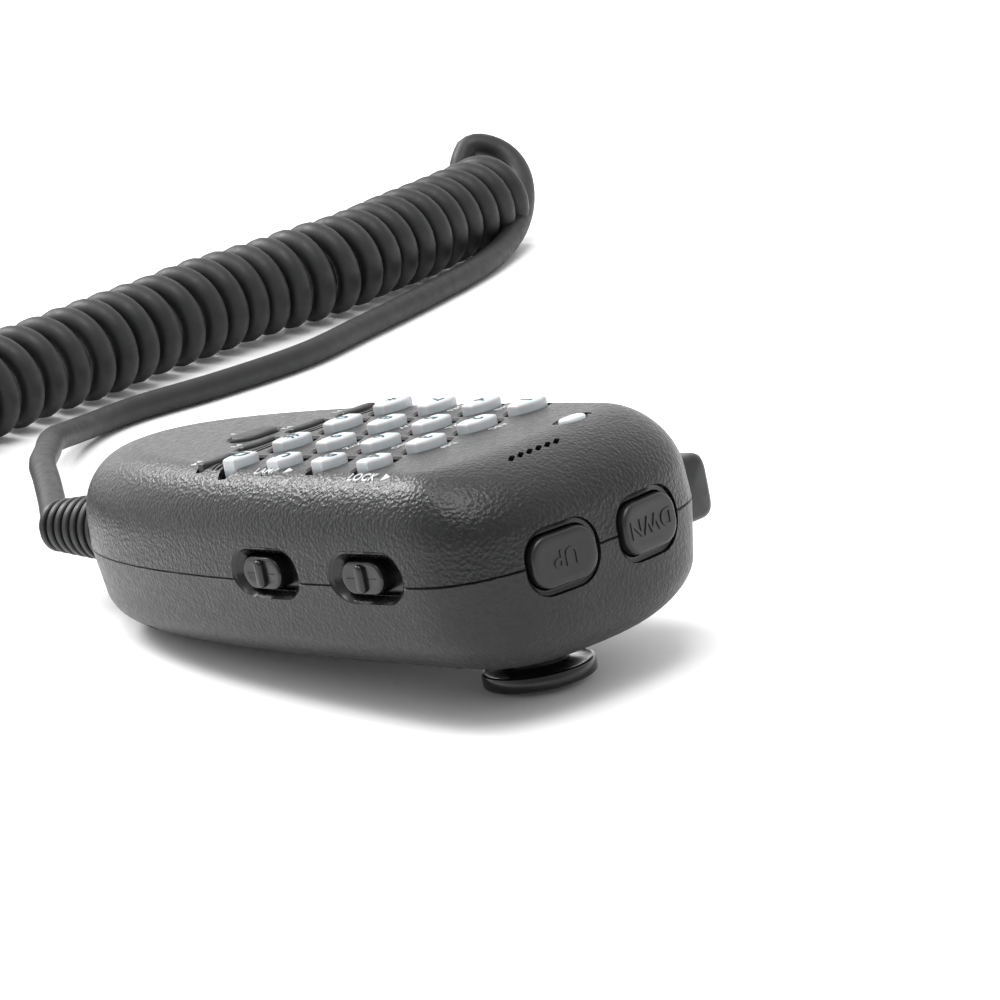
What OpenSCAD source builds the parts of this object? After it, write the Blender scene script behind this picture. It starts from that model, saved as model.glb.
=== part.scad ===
// Hand microphone with a dialling keypad, for a mobile radio.
// The case lies on its back: the hanger button and the cord end of the rear shell
// touch the surface, so the whole case is tilted with its top end up.
//
// Case frame, used inside laid(): +X right, +Y towards the top end, +Z out of the
// face; z = 0 is the parting plane and x = y = 0 is the middle of the number keys.
// Part frame: z = 0 is the surface that the microphone lies on, and the origin is
// under the middle of its plan, the free cord left out.

/* [Case] */
// Half of the case's greatest width, at its widest line
half_w = 26.4; // [26.2:0.1:27]
// Length from the middle of the keys to the top end
top_len = 44.2; // [44:0.1:45]
// Length from the middle of the keys to the cord end
foot_len = 67; // [66:0.5:69]
// Height of the widest line above the middle of the keys
wide_y = 26; // [25:0.5:27]
// Squareness of the two top corners, where 2 is an ellipse
top_square = 3; // [2.9:0.1:3.2]
// Squareness of the two corners at the cord end
foot_square = 2.26; // [2.2:0.02:2.5]
// Height of the face above the parting plane
front_h = 15.3; // [15.3:0.1:15.6]
// Depth of the back below the parting plane
rear_h = 15.7; // [15.5:0.1:16]
// Fall of the back for each mm towards the top end
back_slope = 0.02; // [0.014:0.002:0.024]
// Thickness of the case wall
wall = 1.8; // [1.6:0.1:2]

/* [Keypad] */
// Spacing of the key columns
key_pitch_x = 10.5; // [10.4:0.1:10.7]
// Spacing of the key rows
key_pitch_y = 10; // [9.8:0.1:10.2]
// Travel of every key
key_travel = 0.8; // [0.5:0.1:0.8]
// Height of a number key above the face
key_proud = 1.4; // [1.2:0.1:2]

/* [Hanger button] */
// Place of the hanger button along the case
hanger_y = 24; // [22:0.5:25]
// Diameter of the button's flange
hanger_d = 17.2; // [16:0.1:18]
// Diameter of the neck under the flange
hanger_neck_d = 9.4; // [8.5:0.1:10]
// Distance from the case's back to the flange's outer face
hanger_drop = 5.4; // [5.2:0.1:6]

/* [Cord] */
// Diameter of the cord
cord_d = 4.6; // [4.4:0.1:4.6]
// Outer diameter of the curly part
coil_d = 18.2; // [17.6:0.1:18.6]
// Length of the strain relief outside the case
relief_len = 16.5; // [15.5:0.5:18]

/* [Hidden] */
$fn = 48;
RING_N = 48;                     // points round each ring of the case
DRAFT = [[0.034, 0.063], [0.185, 0.105]];   // draw-in per mm of height, sides and ends,
                                            // of the front shell and of the rear one
SHOULDER_Z = [4.8, 7.9];         // where the rounding starts, front and rear
SHOULDER_IN = [[7.3, 13.3], [15.3, 8.7]];   // how far it draws in, sides and ends
INNER_IN = [[2.7, 11.5], [13, 7]];          // the same for the hollow inside
FACE_T = 2;                      // thickness of the face and of the back

flange_t = 1.8;                  // flange of the hanger button
back_in = rear_h * DRAFT[1][1] + SHOULDER_IN[1][1];      // inset of the flat back's ends
back_len = foot_len - back_in;   // from the middle of the keys to the flat back's end
back_angle = atan(back_slope);
tilt = back_angle + atan2(hanger_drop, hanger_y - hanger_d / 2 + 0.6 + back_len);
lift = (rear_h - back_slope * back_len) * cos(tilt) + back_len * sin(tilt);

face_under = front_h - FACE_T;   // underside of the face
flange_top = face_under - 0.3;   // top of the keys' flanges, at rest
KEY_FLANGE = 1;                  // thickness of the keys' flanges
MAT_T = 1;                       // keypad mat
mat_top = flange_top - KEY_FLANGE - key_travel - 0.3;
mat_under = mat_top - MAT_T;
PUCK_H = 0.9;                    // pressing pucks under the mat
DOME_T = 0.3;                    // snap domes on the board
BOARD_T = 1.6;
board_top = mat_under - PUCK_H - 0.3 - DOME_T;
board_z = board_top - BOARD_T;

END_KEY_X = 8.8;                 // up and down buttons, from the centre line
END_KEY_YAW = 6;                 // how far their faces turn outwards
END_KEY_Y = 43.9;                // case surface at the buttons
LOCK_PLACE = [26.35, 20.2, -0.5];   // slide switch windows: case surface x, y and yaw
LAMP_PLACE = [25.55, -3.1, -3.8];
SLIDE_Z = 1.05;                  // their height above the parting plane
SLIDE_TRAVEL = 3.2;

PTT_Z = [-5.5, 4.7];             // push-to-talk lever: underside and top
PTT_Y = [-12, 34];               // its two ends
PTT_PIVOT = [-22.4, -8.5];
PTT_LUG_R = 2.2;                 // lugs and knuckle round its pin
PTT_ROOT = 26.8;                 // its edge at the pivot, from the centre line
PTT_BOW = 5.2;                   // how far the edge bows out beyond that
ptt_reach = PTT_ROOT + PTT_BOW;

// Case screws: x, y and the height of the seat under the head
SCREWS = [[16.5, 28.5, -10.2], [-16.5, 28.5, -10.2], [12, -46, -8.2], [-12, -46, -8.2]];
BOSS_R = 2.7;
LED_PLACE = [-10.3, 30.1];
MIC_PLACE = [3.4, 32.5];

RELIEF_R = [5.6, 4.2];           // strain relief at the case and at its tip
relief_tip = foot_len + relief_len;
RIBS = 7;
rib_pitch = (relief_len - 1) / RIBS;

centre_x = (half_w - ptt_reach) / 2;
centre_y = (top_len * cos(tilt) - relief_tip * cos(tilt) - RELIEF_R[1] * sin(tilt)) / 2;

// Route of the cord's straight stretch, from the strain relief to the curly part,
// measured from the middle of the keys along and across the case
LEAD = [[0, -81, 12], [-2.5, -86, 12.1], [-9, -94.5, 12.1], [-18, -106.5, 11.9],
        [-27, -118.5, 10.9], [-38, -130.5, 9], [-50, -144, 6.2], [-61, -151.5, 4],
        [-71, -156, 2.7], [-81, -157, 2.5], [-98, -154.5, 2.5], [-118, -154, 2.5],
        [-136, -158, 2.5], [-156, -163, 2.5], [-176, -169, 2.5], [-190, -175, 3.2],
        [-201, -181, 6], [-208, -187, 11], [-209.5, -192.5, 15.5], [-206, -197, 17.8],
        [-199, -194, 14.5]];
// Middle line of the curly part
COIL = [[-200, -187, 9.4], [-155, -179, 9.4], [-125, -180, 9.4], [-95, -178, 9.4],
        [-65, -176, 9.4], [-20, -168, 9.4], [20, -156, 9.4], [48, -143, 9.4]];
// Straight tail from the curly part to the plug
TAIL_X = 76;                     // where the plug lies
PLUG_Y = -96;
TAIL = [[46, -143, 5], [56, -138, 3.5], [66, -128, 2.6], [73, -116, 2.6],
        [TAIL_X, -105, 3.2], [TAIL_X, PLUG_Y + 0.9, 4]];

DIGITS = [["key_1", 0, 0], ["key_2", 1, 0], ["key_3", 2, 0],
          ["key_4", 0, 1], ["key_5", 1, 1], ["key_6", 2, 1],
          ["key_7", 0, 2], ["key_8", 1, 2], ["key_9", 2, 2],
          ["key_star", 0, 3], ["key_0", 1, 3], ["key_hash", 2, 3]];
LETTERS = [["key_a", 3, 0], ["key_b", 3, 1], ["key_c", 3, 2], ["key_d", 3, 3]];
PROGRAMS = [["key_p1", -14.6, -22], ["key_p2", -5.2, -23.4],
            ["key_p3", 5.2, -23.4], ["key_p4", 14.6, -22]];
OVAL_Y = -29.8;                  // the big oval key below them

// ---------- shapes that repeat ----------

// Puts the case frame into the part frame
module laid() translate([-centre_x, -centre_y, lift]) rotate([tilt, 0, 0]) children();

// Puts the cord's measures, from the middle of the keys, into the part frame
module on_floor() translate([-centre_x, -centre_y, 0]) children();

// One ring of the case outline: a squared ellipse whose two halves differ in length,
// drawn in by side_in and end_in, at height z plus slope times y
function ring(side_in, end_in, z, slope) = [for (i = [0 : RING_N - 1])
    let (c = cos(360 * i / RING_N), s = sin(360 * i / RING_N),
         power = 2 / (s >= 0 ? top_square : foot_square),
         reach = (s >= 0 ? top_len - wide_y : foot_len + wide_y) - end_in,
         y = wide_y + sign(s) * pow(abs(s), power) * reach)
    [sign(c) * pow(abs(c), power) * (half_w - side_in), y, z + slope * y]];

// The outline at the parting plane, drawn in all round
function outline(inset) = [for (p = ring(inset, inset, 0, 0)) [p.x, p.y]];

// Rings of one half of the case, from the parting plane to the face or back:
// a drafted wall, then a quarter ellipse
function half_rings(side, h, inset, draw) =
    let (z0 = SHOULDER_Z[side], d = DRAFT[side])
    concat([ring(inset, inset, 0, 0)],
        [for (a = [0 : 15 : 90])
            let (z = z0 + (h - z0) * sin(a), k = 1 - cos(a))
            ring(inset + d[0] * z + draw[0] * k, inset + d[1] * z + draw[1] * k, z,
                 side == 0 ? 0 : back_slope * z / rear_h)]);

// Closed solid through a stack of rings
module loft(rings) {
    n = len(rings[0]);
    last = len(rings) - 1;
    polyhedron(
        points = [for (r = rings) each r],
        faces = concat(
            [[for (i = [0 : n - 1]) i]],
            [for (k = [0 : last - 1], i = [0 : n - 1])
                each [[k * n + i, (k + 1) * n + i, (k + 1) * n + (i + 1) % n],
                      [k * n + i, (k + 1) * n + (i + 1) % n, k * n + (i + 1) % n]]],
            [[for (i = [n - 1 : -1 : 0]) last * n + i]]));
}

// One point of the smooth curve through the points p, u of the way past point i
function curve_at(p, i, u) =
    let (a = p[max(i - 1, 0)], b = p[i], c = p[i + 1], d = p[min(i + 2, len(p) - 1)])
    0.5 * (2 * b + (c - a) * u + (2 * a - 5 * b + 4 * c - d) * u * u
           + (3 * b - a - 3 * c + d) * u * u * u);

function route(p, steps) = concat(
    [for (i = [0 : len(p) - 2], k = [0 : steps - 1]) curve_at(p, i, k / steps)],
    [p[len(p) - 1]]);

function unit(v) = v / norm(v);

// Tube of radius r along the route p
module tube(p, r, sides) {
    last = len(p) - 1;
    loft([for (k = [0 : last])
        let (t = unit(p[min(k + 1, last)] - p[max(k - 1, 0)]),
             u = unit(cross([0, 0, 1], t)), v = cross(t, u))
        [for (i = [0 : sides - 1])
            p[k] + r * (cos(360 * i / sides) * u + sin(360 * i / sides) * v)]]);
}

// Eye outline: two arcs, w from corner to corner and h high, its ends cut at cut
module eye(w, h, cut) {
    r = (w * w / 4 + h * h / 4) / h;
    intersection() {
        translate([0, r - h / 2]) circle(r, $fn = 96);
        translate([0, h / 2 - r]) circle(r, $fn = 96);
        square([cut, h], center = true);
    }
}

// Rectangle with round corners, centred
module round_rect(w, h, r) {
    square([w - 2 * r, h], center = true);
    square([w, h - 2 * r], center = true);
    for (x = [-1, 1], y = [-1, 1])
        translate([x * (w / 2 - r), y * (h / 2 - r)]) circle(r, $fn = 32);
}

// Stadium outline, l long along X and w wide
module stadium(l, w) {
    square([l - w, w], center = true);
    for (x = [-1, 1]) translate([x * (l - w) / 2, 0]) circle(w / 2, $fn = 32);
}

// Frame of an end button: +Z out of the top end, +X across it
module end_frame(side)
    translate([side * END_KEY_X, END_KEY_Y, 0]) rotate([0, 0, -side * END_KEY_YAW])
        rotate([-90, 0, 0]) children();

// Frame of a slide switch: +Z out of the right side, +X towards the top end
module slide_frame(place)
    translate([place[0], place[1], SLIDE_Z]) rotate([0, 0, place[2]])
        rotate([90, 0, 90]) children();

// Frame of the hanger button: +Z out of the sloping back
module hanger_frame() translate([0, hanger_y, -rear_h - back_slope * hanger_y])
    rotate([-back_angle, 0, 0]) mirror([0, 0, 1]) children();

module key_place(col, row)
    translate([(col - 1.5) * key_pitch_x, (1.5 - row) * key_pitch_y, 0]) children();

// ---------- openings shared by both shells ----------

module end_button_openings() for (side = [-1, 1]) end_frame(side) {
    translate([0, 0, -1.1]) linear_extrude(5) round_rect(13.8, 10.2, 4.4);
    translate([0, 0, -6]) linear_extrude(9) round_rect(12.6, 8.4, 3.5);
}

module slide_windows() for (place = [LOCK_PLACE, LAMP_PLACE]) slide_frame(place) {
    translate([0, 0, -0.7]) linear_extrude(5) stadium(15.4, 7.8);
    translate([0, 0, -6]) linear_extrude(9) stadium(13, 5.6);
}

module ptt_slot()
    translate([-half_w - 8, PTT_Y[0] - 0.7, PTT_Z[0] - 0.6])
        cube([14, PTT_Y[1] - PTT_Y[0] + 1.4, PTT_Z[1] - PTT_Z[0] + 1.2]);

module relief_hole()
    translate([0, 4.5 - foot_len, 0]) rotate([90, 0, 0])
        cylinder(r = RELIEF_R[0] + 0.05, h = 12);

module pivot_lug(z, h)
    translate([PTT_PIVOT[0], PTT_PIVOT[1], z]) cylinder(r = PTT_LUG_R, h = h);

module pivot_bore()
    translate([PTT_PIVOT[0], PTT_PIVOT[1], -7.8]) cylinder(r = 1, h = 15.8);

// ---------- case ----------

// Solid of one half of the case, h high and drawn in by inset
module half_case(side, h, inset, draw) {
    if (side == 0) loft(half_rings(0, h, inset, draw));
    else mirror([0, 0, 1]) loft(half_rings(1, h, inset, draw));
}

module front_shell() laid() color("#2c2d2f") difference() {
    union() {
        difference() {
            half_case(0, front_h, 0, SHOULDER_IN[0]);
            translate([0, 0, -0.01]) half_case(0, face_under, wall, INNER_IN[0]);
        }
        intersection() {
            half_case(0, front_h, 0.1, SHOULDER_IN[0]);
            union() {
                for (s = SCREWS)
                    translate([s.x, s.y, 0.4]) cylinder(r = BOSS_R, h = face_under + 0.5);
                pivot_lug(PTT_Z[1] + 0.4, 5);
            }
        }
    }
    for (k = DIGITS) key_place(k[1], k[2])
        translate([0, 0, face_under - 1]) linear_extrude(5) eye(10.6, 5.2, 9.2);
    for (k = LETTERS) key_place(k[1], k[2])
        translate([0, 0, face_under - 1]) linear_extrude(5) eye(10.4, 5, 8.8);
    for (k = PROGRAMS)
        translate([k[1], k[2], face_under - 1]) linear_extrude(5) eye(10, 3.4, 7.8);
    translate([0, OVAL_Y, face_under - 1]) linear_extrude(5) stadium(8.8, 6.4);
    translate([LED_PLACE.x, LED_PLACE.y, face_under - 1]) linear_extrude(5) stadium(4.8, 3);
    for (i = [0 : 5])
        translate([-1.5 + i * 1.84, 35.5, face_under - 4]) rotate([0, 0, -58])
            translate([-0.35, -0.95, 0]) cube([0.7, 1.9, 8]);
    for (s = SCREWS) translate([s.x, s.y, -1]) cylinder(r = 1.05, h = 10);
    end_button_openings();
    slide_windows();
    ptt_slot();
    pivot_bore();
    relief_hole();
}

module rear_shell() laid() color("#27282a") difference() {
    union() {
        difference() {
            half_case(1, rear_h, 0, SHOULDER_IN[1]);
            translate([0, 0, 0.01]) half_case(1, rear_h - FACE_T, wall, INNER_IN[1]);
        }
        intersection() {
            half_case(1, rear_h, 0.1, SHOULDER_IN[1]);
            union() {
                for (s = SCREWS) translate([s.x, s.y, -rear_h])
                    cylinder(r = BOSS_R + 0.7, h = rear_h - 0.4);
                translate([0, hanger_y, 0.3 - rear_h]) cylinder(r = 4, h = 7.5);
                pivot_lug(PTT_Z[0] - 3.4, 3);
            }
        }
    }
    for (s = SCREWS) translate([s.x, s.y, -rear_h - 3]) {
        cylinder(r = 1.35, h = rear_h + 4);
        cylinder(r = 2.5, h = rear_h + 3 + s.z);
    }
    hanger_frame() translate([0, 0, -8]) cylinder(r = 1.2, h = 9);
    end_button_openings();
    slide_windows();
    ptt_slot();
    pivot_bore();
    relief_hole();
}

// ---------- keys, buttons and switches ----------

// Key: a flange under the face and a cap that stands out of it
module key_blank(w, h, cut, proud, flange_w, flange_h) {
    translate([0, 0, flange_top - KEY_FLANGE]) linear_extrude(KEY_FLANGE)
        square([flange_w, flange_h], center = true);
    translate([0, 0, flange_top - 0.2]) linear_extrude(front_h + proud - flange_top + 0.2)
        eye(w, h, cut);
}

module digit_key(k) laid() color("#d5dadc") key_place(k[1], k[2])
    key_blank(9, 4, 6, key_proud, 6.8, 7.8);

module letter_key(k) laid() color("#d5dadc") key_place(k[1], k[2])
    key_blank(8, 3.7, 5, key_proud, 6.8, 7.8);

module program_key(k) laid() color("#1c1c1e") translate([k[1], k[2], 0])
    key_blank(8.8, 2.4, 6.6, 0.5, 6.6, 4.2);

module key_oval() laid() color("#1c1c1e") translate([0, OVAL_Y, 0]) {
    translate([-4, -3.7, flange_top - KEY_FLANGE]) cube([8, 7.4, KEY_FLANGE]);
    translate([0, 0, flange_top - 0.2]) linear_extrude(front_h + 0.6 - flange_top + 0.2)
        stadium(7.8, 5.4);
}

// Up or down button in the top end
module end_button(side) laid() color("#222325") end_frame(side) {
    translate([0, 0, -4.6]) linear_extrude(4.9) round_rect(11.9, 7.8, 3.2);
    translate([0, 0, -4.8]) linear_extrude(1.2) round_rect(14, 10, 3);
    translate([0, 0, -6.4]) cylinder(r = 1.5, h = 2);
}

module button_up() end_button(1);
module button_down() end_button(-1);

// Slide: knob with a ridge, its flange behind the wall and its fork
module slide_knob(place) laid() color("#121214") slide_frame(place)
    translate([-SLIDE_TRAVEL / 2, 0, 0]) {
        translate([0, 0, -3.8]) linear_extrude(3.3) stadium(9, 5);
        translate([0, 0, -0.6]) linear_extrude(0.7) square([1.6, 4.4], center = true);
        translate([0, 0, -4]) linear_extrude(0.8) square([12, 7], center = true);
    }

module lock_slider() slide_knob(LOCK_PLACE);
module lamp_slider() slide_knob(LAMP_PLACE);

// Push-to-talk lever: its outer edge bows out from the case and stands proudest
// near the top end
module ptt_lever() laid() color("#232426") difference() {
    union() {
        translate([0, 0, PTT_Z[0]]) linear_extrude(PTT_Z[1] - PTT_Z[0])
            polygon(concat(
                [for (u = [0 : 0.1 : 1])
                    [-PTT_ROOT - PTT_BOW * sin(100 * u),
                     PTT_Y[0] + u * (PTT_Y[1] - PTT_Y[0])]],
                [[-23.6, PTT_Y[1]], [-23.6, PTT_Y[0]]]));
        translate([PTT_PIVOT[0], PTT_PIVOT[1], PTT_Z[0]])
            cylinder(r = PTT_LUG_R, h = PTT_Z[1] - PTT_Z[0]);
    }
    translate([PTT_PIVOT[0], PTT_PIVOT[1], -9]) cylinder(r = 1.06, h = 18);
}

module ptt_pin() laid() color("silver")
    translate([PTT_PIVOT[0], PTT_PIVOT[1], -7.6]) cylinder(r = 1, h = 15.4);

module led_lens() laid() color("#c9cfd0") translate([LED_PLACE.x, LED_PLACE.y, 0]) {
    translate([0, 0, face_under - 1.3]) linear_extrude(0.8) stadium(5.8, 4);
    translate([0, 0, face_under - 0.6]) linear_extrude(FACE_T + 0.9) stadium(4.6, 2.8);
}

// ---------- inside ----------

module keypad_mat() laid() color("#8f9497") {
    translate([0, 0, mat_under]) linear_extrude(MAT_T) intersection() {
        polygon(outline(5.2));
        translate([-21, -34.6]) square([42, 54.6]);
    }
    for (k = concat(DIGITS, LETTERS)) key_place(k[1], k[2])
        translate([0, 0, mat_under - PUCK_H]) cylinder(r = 1.5, h = PUCK_H);
    for (p = concat([for (k = PROGRAMS) [k[1], k[2]]], [[0, OVAL_Y]]))
        translate([p.x, p.y, mat_under - PUCK_H]) cylinder(r = 1.5, h = PUCK_H);
}

module circuit_board() laid() color("#1f5a38") difference() {
    translate([0, 0, board_z]) linear_extrude(BOARD_T) polygon(outline(3.9));
    for (s = SCREWS) translate([s.x, s.y, board_z - 1])
        cylinder(r = BOSS_R + 0.5, h = 4);
    translate([PTT_PIVOT[0], PTT_PIVOT[1], board_z - 1]) cylinder(r = 2.8, h = 4);
    translate([-20, 7 - foot_len - 13, board_z - 1]) cube([40, 13, 4]);
}

module key_domes() laid() color("silver") {
    for (k = concat(DIGITS, LETTERS)) key_place(k[1], k[2])
        translate([0, 0, board_top]) cylinder(r = 2.5, h = DOME_T);
    for (k = PROGRAMS) translate([k[1], k[2], board_top]) cylinder(r = 2.2, h = DOME_T);
    translate([0, OVAL_Y, board_top]) cylinder(r = 2.5, h = DOME_T);
}

module backlight_leds() laid() color("#e8e6c8")
    for (x = [-key_pitch_x, 0, key_pitch_x], y = [-key_pitch_y, 0, key_pitch_y])
        translate([x - 0.8, y - 0.4, board_top]) cube([1.6, 0.8, 0.6]);

module indicator_led() laid() color("#d9d4c0")
    translate([LED_PLACE.x, LED_PLACE.y, board_top]) {
        cylinder(r = 1.9, h = 0.8);
        cylinder(r = 1.5, h = 3);
    }

module mic_capsule() laid() color("#b9bcc0")
    translate([MIC_PLACE.x, MIC_PLACE.y, board_top + 0.8]) difference() {
    cylinder(r = 3, h = 2.4);
    translate([0, 0, 2]) cylinder(r = 0.8, h = 1);
}

module mic_boot() laid() color("#1d1d1f")
    translate([MIC_PLACE.x, MIC_PLACE.y, board_top]) difference() {
    cylinder(r = 3.7, h = 3.4);
    translate([0, 0, 0.8]) cylinder(r = 3, h = 4);
}

// Bodies of the two slide switches, under the edge of the board
module slide_switches() laid() color("#6f7377")
    for (place = [LOCK_PLACE, LAMP_PLACE]) slide_frame(place)
        translate([-5.4, -3, -8.9]) cube([10, board_z - SLIDE_Z + 3, 4.6]);

// Bodies of the two push switches behind the end buttons
module end_switches() laid() color("#6f7377")
    for (side = [-1, 1]) end_frame(side)
        translate([-3, -board_z, -11.1]) cube([6, board_z + 2.6, 3.6]);

module ptt_switch() laid() color("#3c3f42") {
    translate([-20.4, 4, -2.5]) cube([5.6, 12, board_z + 2.5]);
    translate([-22.3, 9, -1]) cube([2, 2, 2]);
}

module board_connector() laid() color("#e4e0d2")
    translate([-9, -46, board_z - 4.5]) difference() {
        cube([18, 5, 4.5]);
        translate([0.8, -1, 0.8]) cube([16.4, 5, 2.9]);
    }

module wire_plug() laid() color("#ddd8c6")
    translate([-7.9, -48, board_z - 3.5]) cube([15.8, 5.6, 2.5]);

module inner_wires() laid() color("#8c3b36")
    for (i = [-3 : 3]) translate([i * 2.1, -48.4, board_z - 2.2])
        rotate([90 + 18, 0, -i * 5]) cylinder(r = 0.5, h = 7);

// Anchor that holds the cord's jacket inside the case
module cord_clamp() laid() color("#3a3c3e") difference() {
    translate([-8, 7.2 - foot_len, -6]) cube([16, 3.6, 9.5]);
    translate([0, 12 - foot_len, 0]) rotate([90, 0, 0]) cylinder(r = cord_d / 2, h = 10);
}

module board_screws() laid() color("silver")
    for (p = [[0, 22], [16, -30], [-16, -30]]) translate([p.x, p.y, 0]) {
        translate([0, 0, board_z - 1.3]) cylinder(r = 1.9, h = 1.3);
    }

module case_screws() laid() color("silver") for (s = SCREWS) translate([s.x, s.y, s.z]) {
    translate([0, 0, -0.1]) mirror([0, 0, 1]) difference() {
        cylinder(r = 2.3, h = 1.6);
        for (a = [0, 90]) rotate([0, 0, a])
            translate([-1.4, -0.25, 0.8]) cube([2.8, 0.5, 1]);
    }
    translate([0, 0, -0.2]) cylinder(r = 1.02, h = 8.4 - s.z);
}

// ---------- hanger button ----------

module hanger_button() laid() color("#101012") hanger_frame() difference() {
    rotate_extrude($fn = 64) polygon([[0, 0], [hanger_neck_d / 2 + 0.6, 0],
        [hanger_neck_d / 2, 1], [hanger_neck_d / 2, hanger_drop - flange_t - 0.9],
        [hanger_d / 2 - 1.4, hanger_drop - flange_t - 0.3],
        [hanger_d / 2 - 0.5, hanger_drop - flange_t - 0.6],
        [hanger_d / 2, hanger_drop - flange_t],
        [hanger_d / 2, hanger_drop - 0.6], [hanger_d / 2 - 0.6, hanger_drop],
        [0, hanger_drop]]);
    translate([0, 0, -1]) cylinder(r = 1.6, h = hanger_drop + 2);
    translate([0, 0, hanger_drop - 2.2]) cylinder(r = 3.2, h = 3);
}

module hanger_screw() laid() color("silver") hanger_frame() difference() {
    union() {
        translate([0, 0, hanger_drop - 2.2]) cylinder(r = 2.9, h = 1.6);
        translate([0, 0, -6.5]) cylinder(r = 1.15, h = hanger_drop + 4.4);
    }
    for (a = [0, 90]) rotate([0, 0, a])
        translate([-1.8, -0.3, hanger_drop - 1.5]) cube([3.6, 0.6, 2]);
}

// ---------- cord ----------

// Ribbed sleeve that tapers from the case to its tip
module strain_relief() laid() color("#1e1e20")
    translate([0, -foot_len, 0]) rotate([90, 0, 0]) difference() {
        union() {
            translate([0, 0, -1.9]) cylinder(r = RELIEF_R[0], h = 2.4);
            translate([0, 0, -6.6]) cylinder(r = RELIEF_R[0] + 0.6, h = 1.2);
            translate([0, 0, -5.5]) cylinder(r = 4.5, h = 4);
            cylinder(r1 = RELIEF_R[0] - 0.6, r2 = RELIEF_R[1] - 0.5, h = relief_len);
            for (i = [0 : RIBS - 1]) translate([0, 0, 1 + i * rib_pitch])
                cylinder(r = RELIEF_R[0] - (RELIEF_R[0] - RELIEF_R[1]) * i / (RIBS - 1),
                         h = rib_pitch * 0.55);
        }
        translate([0, 0, -7]) cylinder(r = cord_d / 2, h = relief_len + 10);
    }

module cord_lead() color("#2b2c2e") on_floor() tube(route(LEAD, 2), cord_d / 2, 8);
module cord_coil() color("#2b2c2e") on_floor() tube(route(COIL, 2), coil_d / 2, 12);
module cord_tail() color("#2b2c2e") on_floor() tube(route(TAIL, 2), cord_d / 2, 8);

// Modular plug with eight ways, pointing along +Y
module plug_body() color("#c8cccf") on_floor() translate([TAIL_X, PLUG_Y, 0]) difference() {
    union() {
        translate([-5.85, 1, 0]) cube([11.7, 21.5, 8]);
        translate([-4.6, -4, 0.4]) cube([9.2, 6, 7.2]);
        translate([0, 21.3, 7.5]) rotate([-10, 0, 0]) translate([-3, -14, 0]) cube([6, 14, 1]);
    }
    translate([-2.8, -5, 1.4]) cube([5.6, 6, 5.2]);
    for (i = [0 : 7]) translate([(i - 3.5) * 1.02 - 0.25, 17.5, -1]) cube([0.5, 6, 2.8]);
}

module plug_contacts() color("gold") on_floor() translate([TAIL_X, PLUG_Y, 0])
    for (i = [0 : 7]) translate([(i - 3.5) * 1.02 - 0.15, 18, 0.5]) cube([0.3, 4, 1.3]);

// ---------- the parts ----------

front_shell();
rear_shell();
for (k = DIGITS) digit_key(k);
for (k = LETTERS) letter_key(k);
for (k = PROGRAMS) program_key(k);
key_oval();
button_up();
button_down();
ptt_lever();
ptt_pin();
lock_slider();
lamp_slider();
led_lens();
keypad_mat();
circuit_board();
key_domes();
backlight_leds();
indicator_led();
mic_capsule();
mic_boot();
slide_switches();
end_switches();
ptt_switch();
board_connector();
inner_wires();
wire_plug();
cord_clamp();
board_screws();
case_screws();
hanger_button();
hanger_screw();
strain_relief();
cord_lead();
cord_coil();
cord_tail();
plug_body();
plug_contacts();
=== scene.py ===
"""Hand microphone: case, keypad, end buttons, slides, talk lever and curly cord."""

import math

import bmesh
import bpy
import numpy as np
from mathutils import Matrix, Vector


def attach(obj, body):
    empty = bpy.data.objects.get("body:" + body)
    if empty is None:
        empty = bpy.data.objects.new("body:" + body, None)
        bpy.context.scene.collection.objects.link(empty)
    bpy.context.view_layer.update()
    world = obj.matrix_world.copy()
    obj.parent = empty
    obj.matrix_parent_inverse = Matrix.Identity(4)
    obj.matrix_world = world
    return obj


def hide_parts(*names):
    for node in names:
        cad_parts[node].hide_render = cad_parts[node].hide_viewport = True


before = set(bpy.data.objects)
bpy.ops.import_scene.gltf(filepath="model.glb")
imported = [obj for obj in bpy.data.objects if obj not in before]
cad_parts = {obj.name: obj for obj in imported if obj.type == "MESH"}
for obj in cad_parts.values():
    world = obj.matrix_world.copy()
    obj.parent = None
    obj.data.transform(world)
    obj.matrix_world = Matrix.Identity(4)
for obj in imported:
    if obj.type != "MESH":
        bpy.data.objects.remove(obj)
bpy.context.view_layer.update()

# ---------- measures of the case, in millimetres ----------

HALF_W, TOP_LEN, FOOT_LEN, WIDE_Y = 26.4, 44.2, 67.0, 26.0
SQUARENESS = (3.0, 2.26)                  # top corners, corners at the cord end
HEIGHT = (15.3, 15.7)                     # front shell, rear shell
BACK_SLOPE = 0.02
DRAFT = ((0.034, 0.063), (0.185, 0.105))  # sides and ends, front then rear
SHOULDER_Z = (4.8, 7.9)
SHOULDER_IN = ((7.3, 13.3), (15.3, 8.7))
INNER_IN = ((2.7, 11.5), (13.0, 7.0))
WALL, FACE_T = 1.8, 2.0
FACE_Z = HEIGHT[0]

HANGER_Y, HANGER_D, HANGER_NECK, HANGER_DROP, FLANGE_T = 24.0, 17.2, 9.4, 5.4, 1.8
RELIEF_LEN, RELIEF_R, RELIEF_RIBS = 16.5, (5.6, 4.2), 7
CORD_R, CORD_LENGTH = 2.3, 2.2            # jacket radius in mm, length of wire in m

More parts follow.
